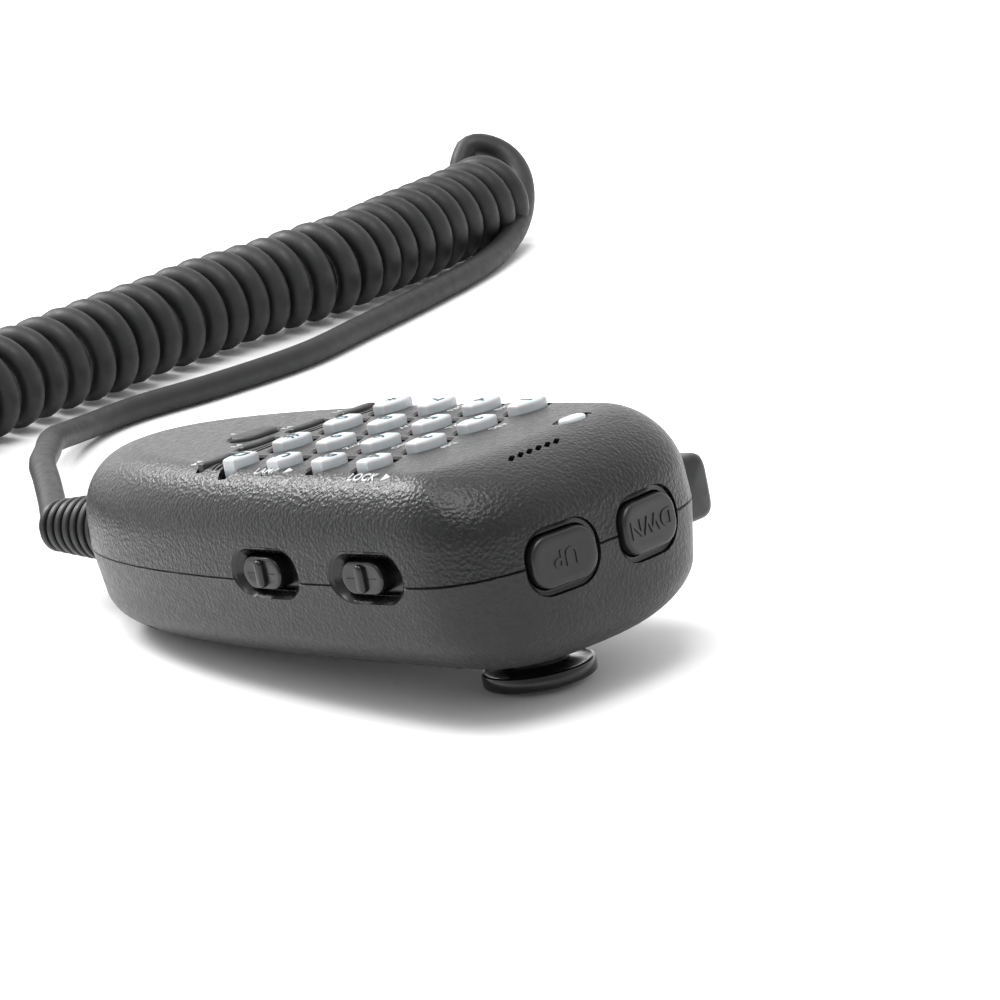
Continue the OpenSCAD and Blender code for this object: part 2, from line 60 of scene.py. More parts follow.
BACK_LEN = FOOT_LEN - HEIGHT[1] * DRAFT[1][1] - SHOULDER_IN[1][1]
BACK_ANGLE = math.atan(BACK_SLOPE)
TILT = BACK_ANGLE + math.atan2(HANGER_DROP, HANGER_Y - HANGER_D / 2 + 0.6 + BACK_LEN)
LIFT = (HEIGHT[1] - BACK_SLOPE * BACK_LEN) * math.cos(TILT) + BACK_LEN * math.sin(TILT)
CENTRE = np.array([(HALF_W - 32.0) / 2,
                   ((TOP_LEN - FOOT_LEN - RELIEF_LEN) * math.cos(TILT)
                    - RELIEF_R[1] * math.sin(TILT)) / 2, 0.0])


def turn(axis, degrees):
    """3 x 3 turn about the x, y or z axis."""
    return np.array(Matrix.Rotation(math.radians(degrees), 3, axis))


LAY = turn("X", math.degrees(TILT))


def laid(p):
    """Case frame in mm to the part frame in m: tilt about x, lift, move to the origin."""
    return (np.asarray(p) @ LAY.T + (0, 0, LIFT) - CENTRE) * 0.001


def on_floor(p):
    """Plan measures in mm from the middle of the keys to the part frame in m."""
    return (np.asarray(p, float) - CENTRE) * 0.001


# ---------- camera ----------

CAMERA_AT = (573.4, 648.2, 258.5)
CAMERA_AHEAD, CAMERA_UP = (-0.6517, -0.7117, -0.2624), (-0.272, -0.104, 0.957)


def add_camera():
    """Long lens from the top end's right, a little above, with a slight roll."""
    data = bpy.data.cameras.new("camera")
    data.lens, data.sensor_width = 216.0, 36.0
    data.clip_start, data.clip_end = 0.05, 20.0
    cam = bpy.data.objects.new("camera", data)
    ahead = Vector(CAMERA_AHEAD).normalized()
    side = ahead.cross(Vector(CAMERA_UP)).normalized()
    up = side.cross(ahead)
    turned = Matrix((side, up, -ahead)).transposed().to_4x4()
    cam.matrix_world = Matrix.Translation(on_floor(CAMERA_AT)) @ turned
    bpy.context.scene.collection.objects.link(cam)
    bpy.context.scene.camera = cam


add_camera()

# ---------- cord ----------

LEAD = [[0, -81, 12], [-2.5, -86, 12.1], [-9, -94.5, 12.1], [-18, -106.5, 11.9],
        [-27, -118.5, 10.9], [-38, -130.5, 9], [-50, -144, 6.2], [-61, -151.5, 4],
        [-71, -156, 2.7], [-81, -157, 2.5], [-98, -154.5, 2.5], [-118, -154, 2.5],
        [-136, -158, 2.5], [-156, -163, 2.5], [-176, -169, 2.5], [-190, -175, 3.2],
        [-201, -181, 6], [-208, -187, 11], [-209.5, -192.5, 15.5], [-206, -197, 17.8],
        [-201, -198.5, 15]]
COIL = [[-200, -187, 9.4], [-155, -179, 9.4], [-125, -180, 9.4], [-95, -178, 9.4],
        [-65, -176, 9.4], [-20, -168, 9.4], [20, -156, 9.4], [48, -143, 9.4]]
TAIL = [[56, -138, 3.5], [66, -128, 2.6], [73, -116, 2.6], [76, -105, 3.2], [76, -96, 4]]
COIL_PITCH, COIL_R = (4.9, 6.3), 6.8      # pitch at the far end and from 150 mm on
COIL_STEP, COIL_START, FLOOR_GAP = 0.25, 175, 0.12
JOIN_PASSES, JOIN_REACH = 40, 12          # smoothing where lead, coil and tail meet


def smooth_route(points, steps):
    """Catmull-Rom curve: each stretch is a cubic whose slopes follow the neighbours."""
    p = np.asarray(points, float)
    q = np.vstack([2 * p[0] - p[1], p, 2 * p[-1] - p[-2]])
    u = (np.arange(steps) / steps)[None, :, None]
    a, b, c, d = (q[i:len(q) - 3 + i][:, None] for i in range(4))
    curve = 0.5 * (2 * b + (c - a) * u + (2 * a - 5 * b + 4 * c - d) * u ** 2
                   + (3 * b - a - 3 * c + d) * u ** 3)
    return np.vstack([curve.reshape(-1, 3), p[-1:]])


def evenly(points, step):
    """The same route with its points an equal distance apart."""
    run = np.r_[0, np.cumsum(np.linalg.norm(np.diff(points, axis=0), axis=1))]
    s = np.linspace(0, run[-1], max(2, int(round(run[-1] / step))))
    return np.stack([np.interp(s, run, points[:, i]) for i in range(3)], 1)


def coil_route():
    """Helix about the middle line: centre(s) + r (cos f n + sin f z), f = turns of s."""
    mid = evenly(smooth_route(COIL, 30), COIL_STEP)
    s = np.arange(len(mid)) * COIL_STEP
    along = np.gradient(mid, axis=0)
    along /= np.linalg.norm(along, axis=1)[:, None]
    side = np.stack([-along[:, 1], along[:, 0], 0 * s], 1)
    up = np.array([0, 0, 1.0])
    wobble = 0.25 * np.sin(s * 0.11 + 0.6) + 0.16 * np.sin(s * 0.29)
    pitch = np.interp(s, (0, 150), COIL_PITCH)
    turns = np.cumsum(COIL_STEP / pitch) + 0.05 * np.sin(s * 0.17)
    f = math.radians(COIL_START) + 2 * np.pi * turns
    r = COIL_R + 0.10 * np.sin(s * 0.23 + 1.0)
    ring = np.cos(f)[:, None] * side + np.sin(f)[:, None] * up
    return mid + wobble[:, None] * side + r[:, None] * ring + (0, 0, FLOOR_GAP)


def cord_route():
    """Lead, curly part and tail as one route, rounded off where they meet."""
    coil = coil_route()
    whole = np.vstack([smooth_route(LEAD, 12), coil, smooth_route(TAIL, 12)])
    whole = evenly(whole, 1.0)
    joins = [np.argmin(np.linalg.norm(whole - end, axis=1)) for end in (coil[0], coil[-1])]
    for _ in range(JOIN_PASSES):
        mean = whole.copy()
        mean[1:-1] = (whole[:-2] + 2 * whole[1:-1] + whole[2:]) / 4
        for j in joins:
            a, b = max(1, j - JOIN_REACH), min(len(whole) - 1, j + JOIN_REACH)
            whole[a:b] = mean[a:b]
    whole[:, 2] = np.maximum(whole[:, 2], CORD_R)
    return whole


def add_cord():
    """Tube mesh along the route; the CAD's three cord nodes are replaced by it."""
    route = cord_route()
    data = bpy.data.curves.new("cord", "CURVE")
    data.dimensions = "3D"
    data.bevel_depth, data.bevel_resolution = CORD_R * 0.001, 6
    data.use_fill_caps = True
    spline = data.splines.new("POLY")
    spline.points.add(len(route) - 1)
    spline.points.foreach_set("co", np.c_[on_floor(route), np.ones(len(route))].ravel())
    spline.use_smooth = True
    line = bpy.data.objects.new("line", data)
    bpy.context.scene.collection.objects.link(line)
    graph = bpy.context.evaluated_depsgraph_get()
    mesh = bpy.data.meshes.new_from_object(line.evaluated_get(graph))
    mesh.name = "cord"
    cord = bpy.data.objects.new("cord", mesh)
    bpy.data.objects.remove(line)
    bpy.context.scene.collection.objects.link(cord)
    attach(cord, "case")
    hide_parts("cord_lead", "cord_coil", "cord_tail")
    return cord


cord = add_cord()

# ---------- finishes ----------

class Paint:
    """Node tree of one finish, with short calls for the nodes that it needs."""

    def __init__(self, name, colour, rough, metal=0.0, **shader):
        self.mat = bpy.data.materials.new(name)
        self.mat.use_nodes = True
        self.nodes, self.links = self.mat.node_tree.nodes, self.mat.node_tree.links
        self.shader = self.nodes["Principled BSDF"]
        self.shader.inputs["Base Color"].default_value = (*colour, 1)
        self.shader.inputs["Roughness"].default_value = rough
        self.shader.inputs["Metallic"].default_value = metal
        for key, value in shader.items():
            self.shader.inputs[key.replace("_", " ")].default_value = value
        self.where = self.nodes.new("ShaderNodeTexCoord").outputs["Object"]

    def noise(self, scale, detail=2.0):
        tex = self.nodes.new("ShaderNodeTexNoise")
        tex.inputs["Scale"].default_value = scale
        tex.inputs["Detail"].default_value = detail
        self.links.new(self.where, tex.inputs["Vector"])
        return tex.outputs["Fac"]

    def cells(self, scale):
        tex = self.nodes.new("ShaderNodeTexVoronoi")
        tex.feature = "SMOOTH_F1"
        tex.inputs["Scale"].default_value = scale
        tex.inputs["Smoothness"].default_value = 0.6
        self.links.new(self.where, tex.inputs["Vector"])
        return tex.outputs["Distance"]

    def span(self, value, low, high, frm=0.3, to=0.7):
        node = self.nodes.new("ShaderNodeMapRange")
        for key, number in (("From Min", frm), ("From Max", to), ("To Min", low),
                            ("To Max", high)):
            node.inputs[key].default_value = number
        self.links.new(value, node.inputs["Value"])
        return node.outputs["Result"]

    def tint(self, value, dark, light, frm=0.3, to=0.7):
        ramp = self.nodes.new("ShaderNodeValToRGB")
        ramp.color_ramp.elements[0].position, ramp.color_ramp.elements[1].position = frm, to
        ramp.color_ramp.elements[0].color = (*dark, 1)
        ramp.color_ramp.elements[1].color = (*light, 1)
        self.links.new(value, ramp.inputs["Fac"])
        self.links.new(ramp.outputs["Color"], self.shader.inputs["Base Color"])

    def rough(self, value, low, high):
        self.links.new(self.span(value, low, high), self.shader.inputs["Roughness"])

    def relief(self, value, depth, strength, after=None):
        bump = self.nodes.new("ShaderNodeBump")
        bump.inputs["Strength"].default_value = strength
        bump.inputs["Distance"].default_value = depth
        self.links.new(value, bump.inputs["Height"])
        if after:
            self.links.new(after, bump.inputs["Normal"])
        self.links.new(bump.outputs["Normal"], self.shader.inputs["Normal"])
        return bump.outputs["Normal"]


def grained_plastic(name, dark, light, rough, depth):
    """Moulded plastic with a leather-like grain: soft cells over fine noise."""
    p = Paint(name, light, rough[0], Specular_IOR_Level=0.38)
    p.tint(p.noise(180, 4), dark, light)
    p.rough(p.noise(900, 3), *rough)
    first = p.relief(p.cells(1700), depth, 0.9)
    p.relief(p.noise(3300, 2), depth * 0.7, 0.8, first)
    return p.mat


def plain_plastic(name, dark, light, rough, grain=3500, depth=0.00002):
    """Smooth moulding: faint clouding of colour and gloss, and a very fine bump."""
    p = Paint(name, light, rough[0], Specular_IOR_Level=0.42)
    p.tint(p.noise(260, 3), dark, light)
    p.rough(p.noise(700, 3), *rough)
    p.relief(p.noise(grain, 2), depth, 0.25)
    return p.mat


def metal(name, dark, light, rough):
    """Bare or plated metal: fine specks in the gloss and slight tarnish."""
    p = Paint(name, light, rough[0], 1.0)
    p.tint(p.noise(500, 4), dark, light)
    p.rough(p.noise(2500, 3), *rough)
    p.relief(p.noise(4000, 2), 0.00001, 0.3)
    return p.mat


def silicone():
    """Pale key rubber: milky, a little light passes through, worn to a satin gloss."""
    p = Paint("key_silicone", (0.44, 0.48, 0.50), 0.38, Subsurface_Weight=0.35,
              Subsurface_Scale=0.002)
    p.tint(p.noise(320, 3), (0.40, 0.445, 0.465), (0.48, 0.52, 0.54))
    p.rough(p.noise(900, 3), 0.30, 0.46)
    p.relief(p.noise(5000, 2), 0.000015, 0.3)
    return p.mat


CASE_BLACK = (0.0035, 0.0037, 0.0042), (0.0065, 0.0068, 0.0075)
FRONT = grained_plastic("front_plastic", *CASE_BLACK, (0.27, 0.38), 0.00013)
REAR = grained_plastic("rear_plastic", *CASE_BLACK, (0.34, 0.46), 0.00010)
RIM = plain_plastic("rim_plastic", (0.004, 0.004, 0.0045), (0.007, 0.007, 0.008),
                    (0.20, 0.32))
SATIN = plain_plastic("button_plastic", (0.005, 0.0052, 0.0058), (0.009, 0.0093, 0.010),
                      (0.30, 0.42))
GLOSS = plain_plastic("slider_plastic", (0.005, 0.005, 0.0055), (0.009, 0.009, 0.0095),
                      (0.16, 0.26))
HANGER = plain_plastic("hanger_plastic", (0.007, 0.007, 0.008), (0.012, 0.012, 0.013),
                       (0.12, 0.24))
KEY = silicone()
PROGRAM = plain_plastic("program_key_rubber", (0.013, 0.013, 0.015), (0.020, 0.020, 0.022),
                        (0.42, 0.55))
INK = plain_plastic("key_print", (0.02, 0.025, 0.03), (0.035, 0.04, 0.045), (0.45, 0.6))
WHITE_INK = plain_plastic("face_print", (0.42, 0.43, 0.43), (0.52, 0.53, 0.53),
                          (0.45, 0.6))
LENS = plain_plastic("lens_plastic", (0.50, 0.53, 0.54), (0.58, 0.61, 0.62), (0.22, 0.32))
JACKET = plain_plastic("cord_jacket", (0.0055, 0.0057, 0.006), (0.010, 0.0103, 0.0105),
                       (0.46, 0.58), 1800, 0.00004)
RELIEF = plain_plastic("relief_rubber", (0.006, 0.006, 0.0066), (0.010, 0.010, 0.011),
                       (0.42, 0.56), 1800, 0.00004)
STEEL = metal("screw_steel", (0.42, 0.43, 0.44), (0.58, 0.59, 0.60), (0.24, 0.42))
cord.data.materials.append(JACKET)

# ---------- shapes that repeat ----------


def put(name, verts, faces, material, body=None, slot=None, nodes=(), smooth=32):
    """Mesh object from points in mm; faces outward, hard edges above smooth degrees."""
    mesh = bpy.data.meshes.new(name)
    mesh.from_pydata(np.asarray(verts, float), [], faces)
    work = bmesh.new()
    work.from_mesh(mesh)
    bmesh.ops.remove_doubles(work, verts=work.verts, dist=1e-5)
    bmesh.ops.recalc_face_normals(work, faces=work.faces)
    work.to_mesh(mesh)
    work.free()
    obj = bpy.data.objects.new(name, mesh)
    mesh.materials.append(material)
    bpy.context.scene.collection.objects.link(obj)
    if body:
        finish_piece(obj, body, nodes, smooth)
    return obj


def finish_piece(obj, body, nodes=(), smooth=32):
    """Lays the points in the part frame, sets the shading, and fixes it to its body."""
    mesh = obj.data
    co = np.empty(len(mesh.vertices) * 3)
    mesh.vertices.foreach_get("co", co)
    mesh.vertices.foreach_set("co", laid(co.reshape(-1, 3)).ravel())
    mesh.update()
    mesh.shade_smooth()
    mesh.set_sharp_from_angle(angle=math.radians(smooth))
    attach(obj, body)
    if nodes:
        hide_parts(*nodes)


def rings_to_solid(rings):
    """Closed skin through rings of equal point counts, each end drawn to its middle."""
    rings = np.asarray(rings, float)
    count, n = rings.shape[:2]
    verts = np.vstack([rings.reshape(-1, 3), rings[0].mean(0), rings[-1].mean(0)])
    i = np.arange(n)
    j = (i + 1) % n
    faces = []
    for k in range(count - 1):
        a, b = k * n, (k + 1) * n
        faces += np.stack([a + i, a + j, b + j, b + i], 1).tolist()
    faces += np.stack([j, i, np.full(n, count * n)], 1).tolist()
    top = (count - 1) * n
    faces += np.stack([top + i, top + j, np.full(n, count * n + 1)], 1).tolist()
    return verts, faces


def join_parts(parts):
    """One list of points and faces from several."""
    verts, faces, start = [], [], 0
    for v, f in parts:
        verts.append(np.asarray(v))
        faces += [[i + start for i in face] for face in f]
        start += len(v)
    return np.vstack(verts), faces


def flat_ring(outline, z):
    """Outline at one height."""
    return np.c_[outline, np.full(len(outline), z)]


def case_outline(side_in, end_in, n=320):
    """Squared ellipse: x = cos^p (w - in), y = middle + sin^p reach, p = 2 / squareness."""
    a = np.linspace(0, 2 * np.pi, n, endpoint=False)
    c, s = np.cos(a), np.sin(a)
    top = s >= 0
    p = np.where(top, 2 / SQUARENESS[0], 2 / SQUARENESS[1])
    reach = np.where(top, TOP_LEN - WIDE_Y, FOOT_LEN + WIDE_Y) - end_in
    return np.c_[np.sign(c) * np.abs(c) ** p * (HALF_W - side_in),
                 WIDE_Y + np.sign(s) * np.abs(s) ** p * reach]


def half_case(side, height, inset, draw, n=320, steps=22, lip=0.0):
    """Half of the case: a drafted wall to the shoulder, then a quarter ellipse in."""
    z0, rings = SHOULDER_Z[side], []

    def ring(z, k, more=0.0):
        base = [inset + more + DRAFT[side][j] * z + draw[j] * k for j in (0, 1)]
        outline = case_outline(*base, n)
        down = z
        if side:
            down = -z - BACK_SLOPE * outline[:, 1] * z / HEIGHT[1]
        rings.append(np.c_[outline, np.broadcast_to(down, n)])

    ring(0.0, 0.0, lip)
    for z in np.linspace(lip * 0.7, z0, 5)[(0 if lip else 1):]:
        ring(z, 0.0)
    for a in np.linspace(0, np.pi / 2, steps)[1:]:
        ring(z0 + (height - z0) * math.sin(a), 1 - math.cos(a))
    last = rings[-1]
    mid = last.mean(0)
    for k in (0.82, 0.6, 0.35, 0.12):
        rings.append(mid + (last - mid) * (k, k, 1))
        if side:
            y = rings[-1][:, 1]
            rings[-1][:, 2] = -height - BACK_SLOPE * y * height / HEIGHT[1]
    return rings_to_solid(rings)


def face_height(x, y):
    """Height of the front shell over (x, y): halve the shoulder's angle until it fits."""
    low, high = np.zeros_like(x), np.full_like(x, np.pi / 2)
    reach0 = np.where(y >= WIDE_Y, TOP_LEN - WIDE_Y, FOOT_LEN + WIDE_Y)
    q = np.where(y >= WIDE_Y, SQUARENESS[0], SQUARENESS[1])
    for _ in range(30):
        a = (low + high) / 2
        z = SHOULDER_Z[0] + (FACE_Z - SHOULDER_Z[0]) * np.sin(a)
        k = 1 - np.cos(a)
        w = HALF_W - DRAFT[0][0] * z - SHOULDER_IN[0][0] * k
        reach = reach0 - DRAFT[0][1] * z - SHOULDER_IN[0][1] * k
        inside = (np.abs(x) / w) ** q + (np.abs(y - WIDE_Y) / reach) ** q < 1
        low, high = np.where(inside, a, low), np.where(inside, high, a)
    return SHOULDER_Z[0] + (FACE_Z - SHOULDER_Z[0]) * np.sin(low)


def eye_outline(w, h, cut, inset=0.0, n=20):
    """Two arcs from corner to corner, w wide and h high, with straight cut ends."""
    w, h, half = w - 2 * inset, h - 2 * inset, cut / 2 - inset
    r = (w * w / 4 + h * h / 4) / h
    x = np.linspace(half, -half, n)
    y = np.sqrt(r * r - x * x) - (r - h / 2)
    side = np.linspace(y[-1], -y[-1], 8)[1:-1]
    return np.vstack([np.c_[x, y], np.c_[np.full(6, -half), side],
                      np.c_[-x, -y], np.c_[np.full(6, half), -side]])


def round_outline(w, h, r, n=12):
    """Rectangle with round corners; r = h / 2 makes a stadium."""
    a = np.linspace(0, np.pi / 2, n)
    corner = np.c_[np.cos(a), np.sin(a)] * r
    parts = []
    for k, (sx, sy) in enumerate(((1, 1), (-1, 1), (-1, -1), (1, -1))):
        turned = corner @ turn("Z", 90 * k)[:2, :2].T
        parts.append(turned + (sx * (w / 2 - r), sy * (h / 2 - r)))
    return np.vstack(parts)


def prism(shape, levels):
    """Skin through the outlines shape(inset) at the heights of levels (inset, z)."""
    return rings_to_solid([flat_ring(shape(inset), z) for inset, z in levels])


def soft_top(base, top, r):
    """Levels of a straight wall that turns into the top by a quarter circle of r."""
    a = np.linspace(0, np.pi / 2, 5)
    return [(0, base), (0, (base + top) / 2)] + [
        (r * (1 - math.cos(t)), top - r + r * math.sin(t)) for t in a]


def moved(part, move=(0, 0, 0), spin=None):
    """A part turned by spin and then moved."""
    v, f = part
    v = v if spin is None else v @ spin.T
    return v + np.asarray(move, float), f


def revolve(profile, n=64, caps=True):
    """Closed solid of revolution about z through the points (radius, height)."""
    r, z = np.asarray(profile, float).T
    a = np.linspace(0, 2 * np.pi, n, endpoint=False)
    rings = np.stack([r[:, None] * np.cos(a), r[:, None] * np.sin(a),
                      np.repeat(z[:, None], n, 1)], 2)
    if caps:
        return rings_to_solid(rings)
    verts, faces = rings_to_solid(np.concatenate([rings, rings[:1]]))
    return verts, [f for f in faces if len(f) == 4]


def lettering(text, size, lift=(0.0, 0.1), spacing=1.0):
    """Plain characters as a thin plate, centred, its two faces at the heights lift."""
    data = bpy.data.curves.new("text", "FONT")
    data.body, data.size, data.space_character = text, size, spacing
    data.align_x, data.align_y = "CENTER", "CENTER"
    data.extrude, data.offset = 0.5, 0.012 * size
    data.resolution_u = 4
    obj = bpy.data.objects.new("text", data)
    bpy.context.scene.collection.objects.link(obj)
    bpy.context.view_layer.update()
    mesh = obj.to_mesh()
    v = np.empty(len(mesh.vertices) * 3)
    mesh.vertices.foreach_get("co", v)
    faces = [list(p.vertices) for p in mesh.polygons]
    obj.to_mesh_clear()
    bpy.data.objects.remove(obj)
    v = v.reshape(-1, 3)
    v[:, 2] = np.where(v[:, 2] > 0, lift[1], lift[0])
    v[:, :2] -= (v[:, :2].min(0) + v[:, :2].max(0)) / 2
    return v, faces


def triangle(size, lift=(0.0, 0.1)):
    """Small arrow head that points along x."""
    p = np.array([[-0.5, 0.45], [0.45, 0], [-0.5, -0.45]]) * size
    v = np.vstack([flat_ring(p, lift[0]), flat_ring(p, lift[1])])
    return v, [[0, 1, 2], [3, 4, 5], [0, 1, 4, 3], [1, 2, 5, 4], [2, 0, 3, 5]]


# ---------- places and sizes of keys, buttons and trim, in millimetres ----------

END_X, END_Y, END_YAW = 8.8, 43.9, 6.0
SLIDES = {"lock_slider": ((26.35, 20.2, 1.05), -0.5),
          "lamp_slider": ((25.55, -3.1, 1.05), -3.8)}
SLIDE_START = -1.6
DIGITS = {"1": (0, 0), "2": (1, 0), "3": (2, 0), "4": (0, 1), "5": (1, 1), "6": (2, 1),
          "7": (0, 2), "8": (1, 2), "9": (2, 2), "*": (0, 3), "0": (1, 3), "#": (2, 3),
          "A": (3, 0), "B": (3, 1), "C": (3, 2), "D": (3, 3)}
NODE_OF = {"*": "key_star", "#": "key_hash"}
PITCH_X, PITCH_Y, LETTERS = 10.5, 10.0, 3          # key grid, and the letters' column
KEY_CAP = ((9.0, 4.0, 6.0), (8.0, 3.7, 5.0))       # w, h, cut: of digits, of letters
KEY_WELL = ((10.6, 5.2, 9.2), (10.4, 5, 8.8))
KEY_TOP, KEY_FOOT, WELL_FOOT = 16.7, 12.4, 11.5
PROGRAM_CAP, PROGRAM_WELL = (8.8, 2.4, 6.6), (10, 3.4, 7.8)
PROGRAMS = {"key_p1": (-14.6, -22), "key_p2": (-5.2, -23.4), "key_p3": (5.2, -23.4),
            "key_p4": (14.6, -22)}
OVAL_Y, OVAL_CAP, OVAL_WELL = -29.8, (7.8, 5.4), (8.8, 6.4)
SCREWS = [(16.5, 28.5, -10.2), (-16.5, 28.5, -10.2), (12, -46, -8.2), (-12, -46, -8.2)]
LED = (-10.3, 30.1)
SLOTS, SLOT_AT, SLOT_STEP, SLOT_TURN = 6, (-1.5, 35.5), 1.84, -58
PTT_Y, PTT_Z, PTT_PIVOT = (-12.0, 34.0), (-5.5, 4.7), (-22.4, -8.5)
PTT_ROOT, PTT_BOW, PTT_INNER = 26.8, 5.2, -23.6
SIDE_WORDS = (("LOCK", 20.7, 17.6, 2.1), ("LAMP", 19.0, -5.6, 1.9))   # x, y, size
PHONE_LETTERS = {"2": "ABC", "3": "DEF", "4": "GHI", "5": "JKL", "6": "MNO", "7": "PQRS",
                 "8": "TUV", "9": "WXYZ"}


def key_centre(col, row):
    """Middle of a key of the 4 x 4 grid."""
    return np.array([(col - 1.5) * PITCH_X, (1.5 - row) * PITCH_Y, 0])


def end_spin(side):
    """Turn from a button's own frame to the top end's wall."""
    return turn("Z", -side * END_YAW) @ turn("X", -90)


def slide_spin(yaw):
    """Turn from a slide's own frame to the right wall."""
    return turn("Z", yaw) @ turn("Z", 90) @ turn("X", 90)


# ---------- the two shells ----------

def boolean(obj, cutters, name):
    """Cuts the cutters out of obj one after another, each exactly."""
    for k, cutter in enumerate(cutters):
        mod = obj.modifiers.new(name + str(k), "BOOLEAN")
        mod.operation, mod.object, mod.solver = "DIFFERENCE", cutter, "EXACT"
        mod.material_mode = "TRANSFER"
    graph = bpy.context.evaluated_depsgraph_get()
    mesh = bpy.data.meshes.new_from_object(obj.evaluated_get(graph))
    obj.modifiers.clear()
    obj.data = mesh
    for cutter in cutters:
        bpy.data.objects.remove(cutter)


def cylinder(x, y, z0, z1, r):
    """Upright cylinder between two heights."""
    return moved(revolve([(r, z0), (r, z1)], 40), (x, y, 0))


def box_part(lo, hi):
    """Box between two corners."""
    (a, b, c), (d, e, f) = lo, hi
    ring = np.array([[a, b], [d, b], [d, e], [a, e]])
    return rings_to_solid([flat_ring(ring, c), flat_ring(ring, f)])


def groove_part(low, width):
    """Shallow arc below the bottom row: y = low + 1.3 (x / 18)^2, 0.55 mm deep."""
    x = np.linspace(-18.2, 18.2, 36)
    y = low + 1.3 * (x / 18) ** 2
    outline = np.vstack([np.c_[x, y - width / 2], np.c_[x[::-1], y[::-1] + width / 2]])
    return rings_to_solid([flat_ring(outline, FACE_Z - 1.1), flat_ring(outline, FACE_Z + 1)])


def key_well(w, h, cut):
    """Eye-shaped well through the face, with a chamfered rim."""
    levels = [(0, WELL_FOOT), (0, FACE_Z - 0.35), (-0.35, FACE_Z + 0.1), (-0.35, FACE_Z + 2)]
    return prism(lambda inset: eye_outline(w, h, cut, inset), levels)


def openings():
    """Cutters that both shells share: recess and hole of each, as two sets."""
    wide, deep = [], []
    for side in (-1, 1):
        at, spin = (side * END_X, END_Y, 0), end_spin(side)
        outer = prism(lambda i: round_outline(13.8 - 2 * i, 10.2 - 2 * i, 4.4 - i),
                      [(0.5, -1.25), (0.15, -1.1), (0, -0.8), (-0.1, -0.1), (-0.9, 1.1),
                       (-0.9, 5)])
        inner = prism(lambda i: round_outline(12.6, 8.4, 3.5), [(0, -6), (0, 3)])
        wide.append(moved(outer, at, spin))
        deep.append(moved(inner, at, spin))
    for at, yaw in SLIDES.values():
        spin = slide_spin(yaw)
        outer = prism(lambda i: round_outline(15.4 - 2.4 * i, 7.8 - 2 * i, 3.9 - i),
                      [(1.05, -2.0), (0.95, -1.6), (0.35, -0.95), (0.1, -0.5),
                       (-0.25, -0.3), (-0.7, 0.3), (-0.7, 4)])
        inner = prism(lambda i: round_outline(13, 5.6, 2.8), [(0, -6), (0, 3)])
        wide.append(moved(outer, at, spin))
        deep.append(moved(inner, at, spin))
    wide.append(box_part((-HALF_W - 8, PTT_Y[0] - 0.7, PTT_Z[0] - 0.6),
                         (-20.4, PTT_Y[1] + 0.7, PTT_Z[1] + 0.6)))
    hole = moved(revolve([(RELIEF_R[0] + 0.05, 0), (RELIEF_R[0] + 0.05, 12)], 48),
                 (0, 4.5 - FOOT_LEN, 0), turn("X", 90))
    wide.append(hole)
    return wide, deep


def front_shell():
    """Front half of the case: hollow with screw columns, wells, slots and openings."""
    shell = put("front_case", *half_case(0, FACE_Z, 0, SHOULDER_IN[0], lip=0.3), FRONT)
    hollow = put("hollow", *moved(half_case(0, FACE_Z - FACE_T, WALL, INNER_IN[0], 120, 10),
                                  (0, 0, -0.01)), RIM)
    columns = [cylinder(x, y, 0.4, 16, 2.7) for x, y, _ in SCREWS]
    columns.append(cylinder(*PTT_PIVOT, 5.1, 10.1, 2.2))
    boolean(hollow, [put("columns", *join_parts(columns), RIM)], "column")
    wells = [moved(key_well(*KEY_WELL[c == LETTERS]), key_centre(c, r))
             for c, r in DIGITS.values()]
    wells += [moved(key_well(*PROGRAM_WELL), (*at, 0)) for at in PROGRAMS.values()]
    w, h = OVAL_WELL
    wells.append(moved(prism(lambda i: round_outline(w - 2 * i, h - 2 * i, h / 2 - i),
                             [(0, WELL_FOOT), (0, FACE_Z - 0.5), (-0.5, FACE_Z + 0.1),
                              (-0.5, FACE_Z + 2)]), (0, OVAL_Y, 0)))
    dish = prism(lambda i: eye_outline(8.6, 4.2, 7.4, i), [(1.2, FACE_Z - 0.8),
                                                          (0.2, FACE_Z - 0.3),
                                                          (-0.1, FACE_Z + 1)])
    slot = prism(lambda i: round_outline(0.75, 1.9, 0.37, 6), [(0, 9), (0, 18)])
    wells += [moved(slot, (SLOT_AT[0] + i * SLOT_STEP, SLOT_AT[1], 0),
                    turn("Z", SLOT_TURN)) for i in range(SLOTS)]
    wells += [cylinder(x, y, -1, 9, 1.05) for x, y, _ in SCREWS]
    wells += [groove_part(-19.3, 0.7), groove_part(-20.5, 0.45)]
    wide, deep = openings()
    wide.append(moved(dish, (*LED, 0)))
    deep.append(moved(prism(lambda i: round_outline(4.8, 3, 1.5), [(0, 11), (0, 18)]),
                      (*LED, 0)))
    cut_wide = put("wide", *join_parts(wide), RIM)
    cut_deep = put("deep", *join_parts(deep), RIM)
    cut_wells = put("wells", *join_parts(wells), RIM)
    boolean(shell, [hollow, cut_wells, cut_wide, cut_deep], "cut")
    finish_piece(shell, "case", ["front_shell"], 30)


